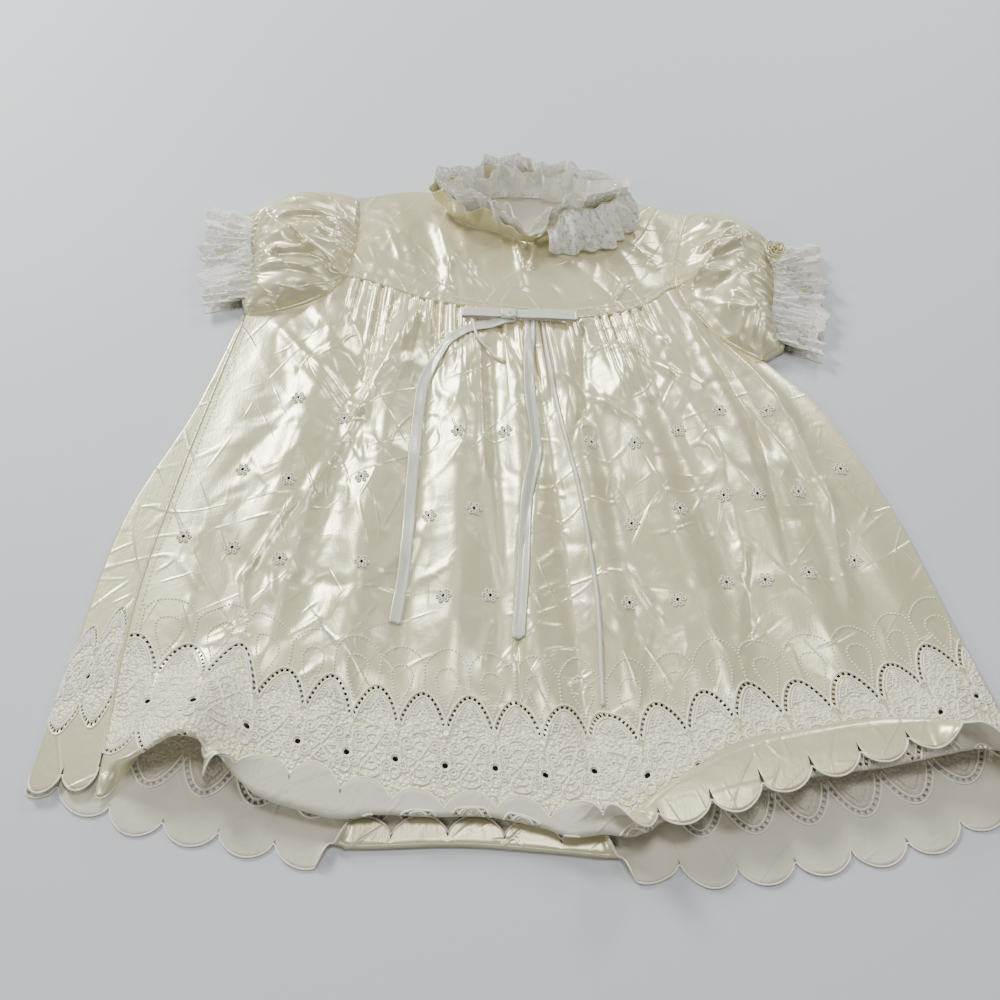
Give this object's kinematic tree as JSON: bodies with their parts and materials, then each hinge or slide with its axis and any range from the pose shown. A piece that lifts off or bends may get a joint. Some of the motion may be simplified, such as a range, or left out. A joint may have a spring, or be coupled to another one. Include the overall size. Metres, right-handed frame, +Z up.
{
  "type": "baby christening gown laid flat",
  "caption": "Short-sleeved satin baby gown laid flat: yoke with neck frill, puffed sleeves with lace cuffs, ribbon bow, gathered skirt with scalloped embroidered hem.",
  "frame": {"origin": "on the surface under the middle of the gown's outline", "axes": "+Z up from the surface, +Y from the hem towards the neck, +X to the right as seen from the hem"},
  "size_m": [0.4375, 0.4298, 0.0278],
  "materials": {
    "satin": "glossy ivory satin, woven",
    "lace": "fine openwork lace net, matte",
    "ribbon": "white satin ribbon"
  },
  "bodies": {
    "root": {"back_skirt": "satin", "front_skirt": "satin", "front_yoke": "satin", "back_yoke": "satin", "left_sleeve": "satin", "right_sleeve": "satin", "left_cuff_lace": "lace", "right_cuff_lace": "lace", "right_cuff_rosette": "satin", "neck_frill": "satin", "neck_lace": "lace", "bow_left_loop": "ribbon", "bow_right_loop": "ribbon", "bow_knot": "ribbon", "ribbon_left": "ribbon", "ribbon_centre": "ribbon", "ribbon_rolled": "ribbon", "ribbon_short": "ribbon"}
  },
  "joints": []
}
